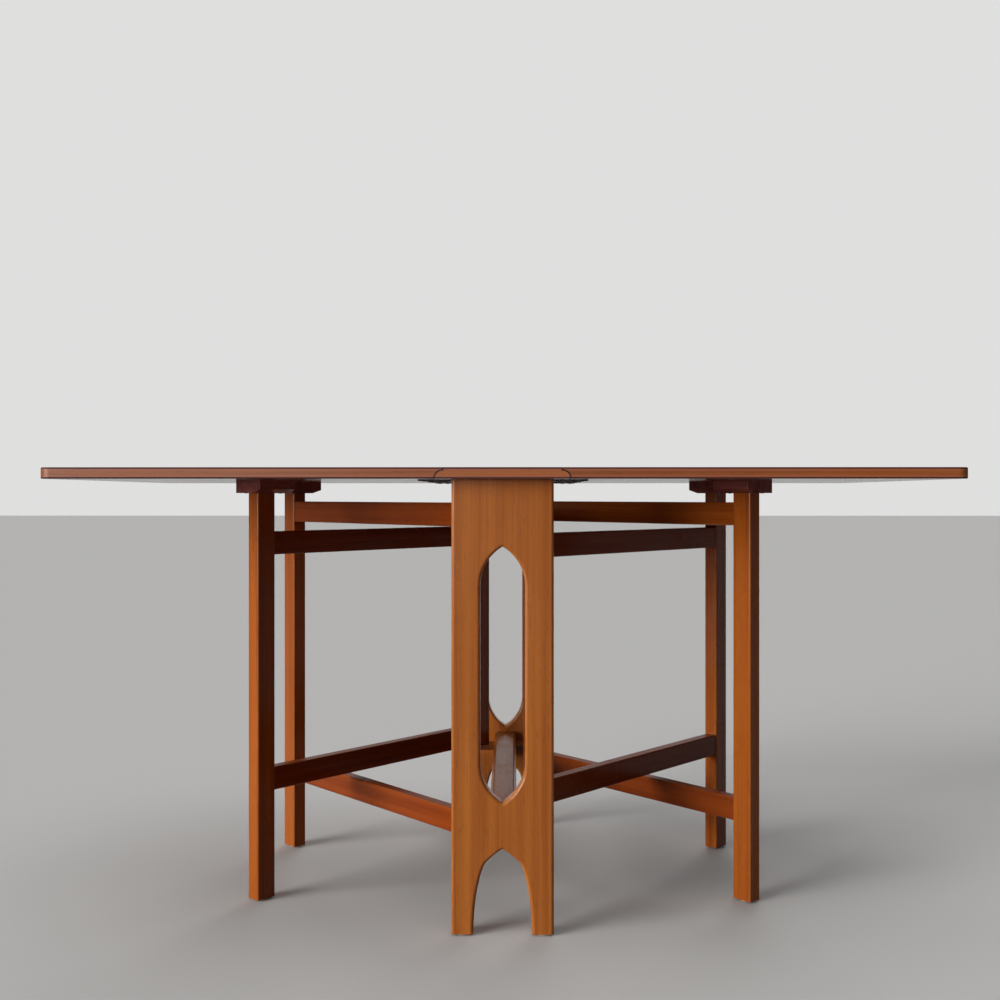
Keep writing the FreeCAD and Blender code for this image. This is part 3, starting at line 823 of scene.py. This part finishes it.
@dataclass
class Hardware(SubAssembly):
    """Hinges, pins, glides and the heads of the screws.

    Attributes:
        head_radius: Radius of a screw's head.
        head_rise: How far a head stands proud.
        head_sides: Number of sides of a head.
        head_top_share: Radius of a head's flat top, as a share of its radius.
        slot_wide: Width of the cross in a head.
        slot_deep: Depth of that cross.
        slot_reach: Length of the cross, as a share of the head's radius.
        chance_seed: Seed of the heads' turns.
        edge_slack: How near to a flap's far edge a point counts as on it.
        flap_shares: Places of a flap's screws along the hinge, from its middle.
        fixed_rows: Places of the fixed flap's rows, from the pin outwards.
        leaf_rows: Places of the leaf flap's rows, from the pin outwards.
        cleat_shares: Places of a cleat's screws along it, from its middle.
        bearer_shares: Places of a bearer's screws along it, from its middle.
        bearer_side: Place of a bearer's screws across it, away from the leg's path.
    """

    head_radius: float = 0.0036
    head_rise: float = 0.0007
    head_sides: int = 28
    head_top_share: float = 0.72
    slot_wide: float = 0.0009
    slot_deep: float = 0.0012
    slot_reach: float = 1.25
    chance_seed: int = 7
    edge_slack: float = 0.0009
    flap_shares: tuple[float, ...] = (-0.32, 0.32)
    fixed_rows: tuple[float, ...] = (0.62,)
    leaf_rows: tuple[float, ...] = (0.5, 0.82)
    cleat_shares: tuple[float, ...] = (-0.3, 0.3)
    bearer_shares: tuple[float, ...] = (-0.3, 0.3)
    bearer_side: float = 0.36

    def finish(self) -> None:
        """Dress the metal and plastic, and set the screws' heads."""
        for endings, film in ((("_flaps",), HINGE_METAL), (("_pins",), PIN_METAL),
                              (("_glide", "_glides"), GLIDE_PLASTIC)):
            for node in self.named(*endings):
                self.dress(node, self.book.film(film))
        tree = self.head_tree()
        for body, points in self.screws().items():
            self.screw_heads(body, points, tree)

    def screws(self) -> dict[str, list[Vector]]:
        """The middle of each screw, by the body that it rides on."""
        ways = self.gate_ways()
        cleats = self.named("_top_cleat")
        places = {"frame": [place for node in cleats for place in self.cleat_screws(node)]}
        for side in ("left", "right"):
            axis = self.pin(side + "_leaf_lift")[0]
            places["frame"] += self.flap_screws(side + "_hinge_fixed_flaps", axis, self.fixed_rows)
            leaf = self.flap_screws(side + "_hinge_leaf_flaps", axis, self.leaf_rows)
            for gate, way in ways.items():
                if gate.startswith(side):
                    leaf += self.bearer_screws(gate, way)
            places[side + "_leaf"] = leaf
        return places

    def flap_screws(self, node: str, axis: float, rows: tuple[float, ...]) -> list[Vector]:
        """Where the screws of a leaf's flaps are.

        Args:
            node: The set of flaps.
            axis: Place of the hinge's pin across the table.
            rows: Shares of the flap's width, from the pin outwards.

        Returns:
            The middle of each screw, on the flap's underside.
        """
        vertices = self.nodes[node].data.vertices
        points = sorted((vertex.co.copy() for vertex in vertices), key=lambda co: co.y)
        # A gap wider than the pin's distance from the table's middle parts two flaps.
        plates = [[points[0]]]
        for before, after in zip(points, points[1:]):
            if after.y - before.y > abs(axis):
                plates.append([])
            plates[-1].append(after)
        places = []
        for plate in plates:
            far = max((co.x for co in plate), key=lambda x: abs(x - axis))
            under = min(co.z for co in plate if abs(co.x - far) < self.edge_slack)
            front, back = plate[0].y, plate[-1].y
            for row in rows:
                for share in self.flap_shares:
                    y = (front + back) / 2 + share * (back - front)
                    places.append(Vector((axis + row * (far - axis), y, under)))
        return places

    def cleat_screws(self, node: str) -> list[Vector]:
        """Where the screws of a cleat are, on its underside."""
        low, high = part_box(node)
        wide, y = high[0] - low[0], (low[1] + high[1]) / 2
        return [Vector((share * wide, y, low[2])) for share in self.cleat_shares]

    def bearer_screws(self, gate: str, way: Vector) -> list[Vector]:
        """Where the screws of the bearer over a gate are: beside the leg, where it doesn't slide.

        Args:
            gate: The gate that stands under the bearer.
            way: The gate's level direction.

        Returns:
            The middle of each screw, on the bearer's underside.
        """
        aside = Vector((-way.y, way.x, 0.0))
        if aside.x * way.x < 0:
            aside = -aside
        points = [vertex.co for vertex in self.nodes[self.bearer_over(gate)].data.vertices]
        spans = []
        for line in (way, aside):
            along = [co.dot(line) for co in points]
            spans.append((min(along), max(along)))
        (near, far), (inner, outer) = spans
        under = min(co.z for co in points)
        across = (inner + outer) / 2 + self.bearer_side * (outer - inner)
        places = []
        for share in self.bearer_shares:
            place = way * ((near + far) / 2 + share * (far - near)) + aside * across
            places.append(Vector((place.x, place.y, under)))
        return places

    def head_tree(self) -> bpy.types.NodeTree:
        """A tree that sets a cross-slotted head on every point, each turned by chance."""
        tree = bpy.data.node_groups.new("screw_heads", "GeometryNodeTree")
        socket = tree.interface.new_socket
        socket("Geometry", in_out="INPUT", socket_type="NodeSocketGeometry")
        for name in ("Radius", "Rise", "Slot width", "Slot depth"):
            socket(name, in_out="INPUT", socket_type=NUMBER)
        socket("Material", in_out="INPUT", socket_type="NodeSocketMaterial")
        socket("Geometry", in_out="OUTPUT", socket_type="NodeSocketGeometry")
        sheet = NodeSheet(tree)
        source = sheet.add("NodeGroupInput").outputs
        radius, rise, wide = source["Radius"], source["Rise"], source["Slot width"]
        head = sheet.add("GeometryNodeMeshCone", {
            "Vertices": self.head_sides, "Side Segments": 1, "Fill Segments": 1,
            "Radius Bottom": radius, "Radius Top": sheet.times(radius, self.head_top_share),
            "Depth": rise})
        slotted = sheet.add("GeometryNodeMeshBoolean", operation="DIFFERENCE")
        sheet.feed(slotted.inputs["Mesh 1"], head.outputs[0])
        long = sheet.times(radius, self.slot_reach)
        lift = sheet.vector(z=rise)
        for length, width in ((long, wide), (wide, long)):
            size = sheet.vector(x=length, y=width, z=source["Slot depth"])
            bar = sheet.add("GeometryNodeMeshCube", {"Size": size}).outputs[0]
            raised = sheet.add("GeometryNodeTransform", {"Geometry": bar, "Translation": lift})
            sheet.feed(slotted.inputs["Mesh 2"], raised.outputs[0])
        down = sheet.add("GeometryNodeTransform", {
            "Geometry": slotted.outputs[0], "Rotation": (math.pi, 0.0, 0.0)})
        chance = sheet.add(
            "FunctionNodeRandomValue", {"Seed": self.chance_seed}, data_type="FLOAT")
        heads = sheet.add("GeometryNodeInstanceOnPoints", {
            "Points": source["Geometry"], "Instance": down.outputs[0],
            "Rotation": sheet.vector(z=sheet.times(chance.outputs[1], math.pi))})
        real = sheet.add("GeometryNodeRealizeInstances", {0: heads.outputs[0]})
        painted = sheet.add("GeometryNodeSetMaterial", {
            "Geometry": real.outputs[0], "Material": source["Material"]})
        sheet.add("NodeGroupOutput", {0: painted.outputs[0]})
        return tree

    def screw_heads(self, body: str, points: list[Vector], tree: bpy.types.NodeTree) -> None:
        """Make one body's screw heads as a plain mesh.

        Args:
            body: The body that the screws ride on.
            points: The middle of each screw.
            tree: The tree that makes a head on every point.
        """
        cloud = bpy.data.meshes.new(body + "_screw_points")
        cloud.from_pydata([tuple(point) for point in points], [], [])
        piece = bpy.data.objects.new(body + "_screw_heads", cloud)
        bpy.context.scene.collection.objects.link(piece)
        modifier = piece.modifiers.new("heads", "NODES")
        modifier.node_group = tree
        values = {
            "Radius": self.head_radius, "Rise": self.head_rise, "Slot width": self.slot_wide,
            "Slot depth": self.slot_deep, "Material": self.book.film(SCREW_METAL)}
        for item in tree.interface.items_tree:
            if item.in_out == "INPUT" and item.name in values:
                modifier[item.identifier] = values[item.name]
        graph = bpy.context.evaluated_depsgraph_get()
        mesh = bpy.data.meshes.new_from_object(piece.evaluated_get(graph))
        piece.modifiers.remove(modifier)
        piece.data = mesh
        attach(piece, body)
        LOG.info("%s has %d heads", piece.name, len(points))


@dataclass(frozen=True)
class Lamp:
    """A wide, soft light that hangs far away.

    Attributes:
        name: Name of the light.
        toward: Direction from the table to the light.
        strength: Its strength.
        spread: Its apparent width in degrees.
        tint: Its colour.
        on_matt: Whether it lights matt surfaces.
        in_gloss: Whether it shows in gloss.
    """

    name: str
    toward: Axes
    strength: float
    spread: float
    tint: Colour = (1.0, 1.0, 1.0)
    on_matt: bool = True
    in_gloss: bool = True

    def hang(self) -> None:
        """Put the light into the scene."""
        light = bpy.data.lights.new(self.name, "SUN")
        light.energy = self.strength
        light.angle = math.radians(self.spread)
        light.color = self.tint
        lamp = bpy.data.objects.new(self.name, light)
        lamp.rotation_euler = Vector(self.toward).to_track_quat("Z", "Y").to_euler()
        lamp.visible_diffuse = self.on_matt
        lamp.visible_glossy = self.in_gloss
        bpy.context.scene.collection.objects.link(lamp)


DAYLIGHT: Colour = (1.0, 0.985, 0.96)
LAMPS = (
    Lamp("key_window", (-0.79, -0.51, 0.25), strength=3.25, spread=34.0, tint=DAYLIGHT),
    Lamp("low_window", (-0.66, -0.75, 0.03), strength=1.0, spread=16.0, tint=DAYLIGHT),
    Lamp("side_glow", (-0.44, -0.9, 0.03), strength=2.2, spread=42.0, on_matt=False),
    Lamp("ceiling", (0.0, 0.0, 1.0), strength=0.9, spread=60.0),
    Lamp("rear_fill", (0.2, 1.0, 0.4), strength=1.3, spread=40.0, tint=(0.97, 0.98, 1.0),
         in_gloss=False),
)


@dataclass
class Studio:
    """The floor, the lights and the camera.

    Attributes:
        floor_half: Half of the floor's side.
        floor_shade: Colour of the floor as it is seen.
        bounce_shade: Colour of the floor in the light that it gives back.
        back_shade: Colour of the backdrop.
        sky_shade: Colour of the sky's light.
        sky_level: Strength of the sky's light.
        haze_ends: Upward part of a direction where the backdrop's shine fades and has faded.
        haze_share: How much of the shine has faded there.
        rear_ends: Rearward part of a direction where the backdrop begins to shine and does fully.
        eye: Place of the camera.
        yaw: Turn of the camera to the left, in radians.
        focal_px: Focal length in pixels of the photograph.
        frame_px: Width and height of the photograph in pixels.
        horizon_px: Height of the horizon in the photograph, from its upper edge.
        sensor_mm: Width of the camera's sensor.
        sight_m: How far the camera sees.
    """

    floor_half: float = 40.0
    floor_shade: Colour = (0.58, 0.575, 0.565)
    bounce_shade: Colour = (0.15, 0.1, 0.075)
    back_shade: Colour = (0.74, 0.74, 0.735)
    sky_shade: Colour = (0.96, 0.98, 1.0)
    sky_level: float = 0.07
    haze_ends: Ends = (0.03, 0.16)
    haze_share: float = 0.55
    rear_ends: Ends = (0.6, 0.95)
    eye: Axes = (0.0178, -2.3315, 0.6966)
    yaw: float = 0.011
    focal_px: float = 1257.6
    frame_px: float = 1000.0
    horizon_px: float = 495.0
    sensor_mm: float = 36.0
    sight_m: float = 200.0

    def build(self) -> None:
        """Set up everything that isn't the table."""
        bpy.context.scene.view_settings.view_transform = "Standard"
        self.lay_floor()
        self.light_world()
        for lamp in LAMPS:
            lamp.hang()
        self.aim_camera()

    def lay_floor(self) -> None:
        """A wide pale floor without gloss, which gives little of its light back to the table."""
        half = self.floor_half
        mesh = bpy.data.meshes.new("studio_floor")
        corners = [(-half, -half, 0.0), (half, -half, 0.0), (half, half, 0.0), (-half, half, 0.0)]
        mesh.from_pydata(corners, [], [(0, 1, 2, 3)])
        floor = bpy.data.objects.new("studio_floor", mesh)
        bpy.context.scene.collection.objects.link(floor)
        material, sheet, shader = FinishBook.start("floor_paint")
        path = sheet.add("ShaderNodeLightPath").outputs
        seen = sheet.largest(
            path["Is Camera Ray"], path["Is Glossy Ray"], path["Is Transmission Ray"])
        shade = sheet.mix(seen, self.bounce_shade, self.floor_shade)
        for name, value in (("Base Color", shade), ("Roughness", 1.0), ("Specular IOR Level", 0.0)):
            sheet.feed(shader[name], value)
        mesh.materials.append(material)

    def light_world(self) -> None:
        """A dim sky, with a pale backdrop for the camera and, behind the table, for gloss."""
        world = bpy.data.worlds.new("studio_sky")
        world.use_nodes = True
        bpy.context.scene.world = world
        nodes = world.node_tree.nodes
        sheet = NodeSheet(world.node_tree)
        path = sheet.add("ShaderNodeLightPath").outputs
        way = sheet.parts(sheet.add("ShaderNodeTexCoord").outputs["Generated"])
        faded = sheet.times(sheet.span(way[2], self.haze_ends), self.haze_share)
        shine = sheet.times(sheet.span(way[1], self.rear_ends), sheet.rest(faded))
        seen = sheet.largest(
            path["Is Camera Ray"], sheet.times(path["Is Glossy Ray"], shine),
            path["Is Transmission Ray"])
        sky = nodes["Background"]
        for name, value in (("Color", self.sky_shade), ("Strength", self.sky_level)):
            sheet.feed(sky.inputs[name], value)
        backdrop = sheet.add("ShaderNodeBackground", {"Color": self.back_shade, "Strength": 1.0})
        both = sheet.add("ShaderNodeMixShader", {
            0: seen, 1: sky.outputs[0], 2: backdrop.outputs[0]})
        sheet.feed(nodes["World Output"].inputs["Surface"], both.outputs[0])

    def aim_camera(self) -> None:
        """A level camera at the height and distance of the photograph's."""
        lens = bpy.data.cameras.new("photo_camera")
        lens.sensor_width = self.sensor_mm
        lens.lens = self.sensor_mm * self.focal_px / self.frame_px
        lens.shift_y = (self.horizon_px - self.frame_px / 2) / self.frame_px
        lens.clip_end = self.sight_m
        camera = bpy.data.objects.new("photo_camera", lens)
        camera.location = self.eye
        camera.rotation_euler = (QUARTER_TURN, 0.0, self.yaw)
        bpy.context.scene.collection.objects.link(camera)
        bpy.context.scene.camera = camera


def main() -> None:
    """Load the frame, dress every piece and light the studio."""
    logging.basicConfig(level=logging.INFO, format="%(name)s: %(message)s")
    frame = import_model()
    book = FinishBook()
    for group in (TableTop, EndFrame, Gates, Hardware):
        group(frame, book).finish()
    Studio().build()


if __name__ == "__main__":
    main()
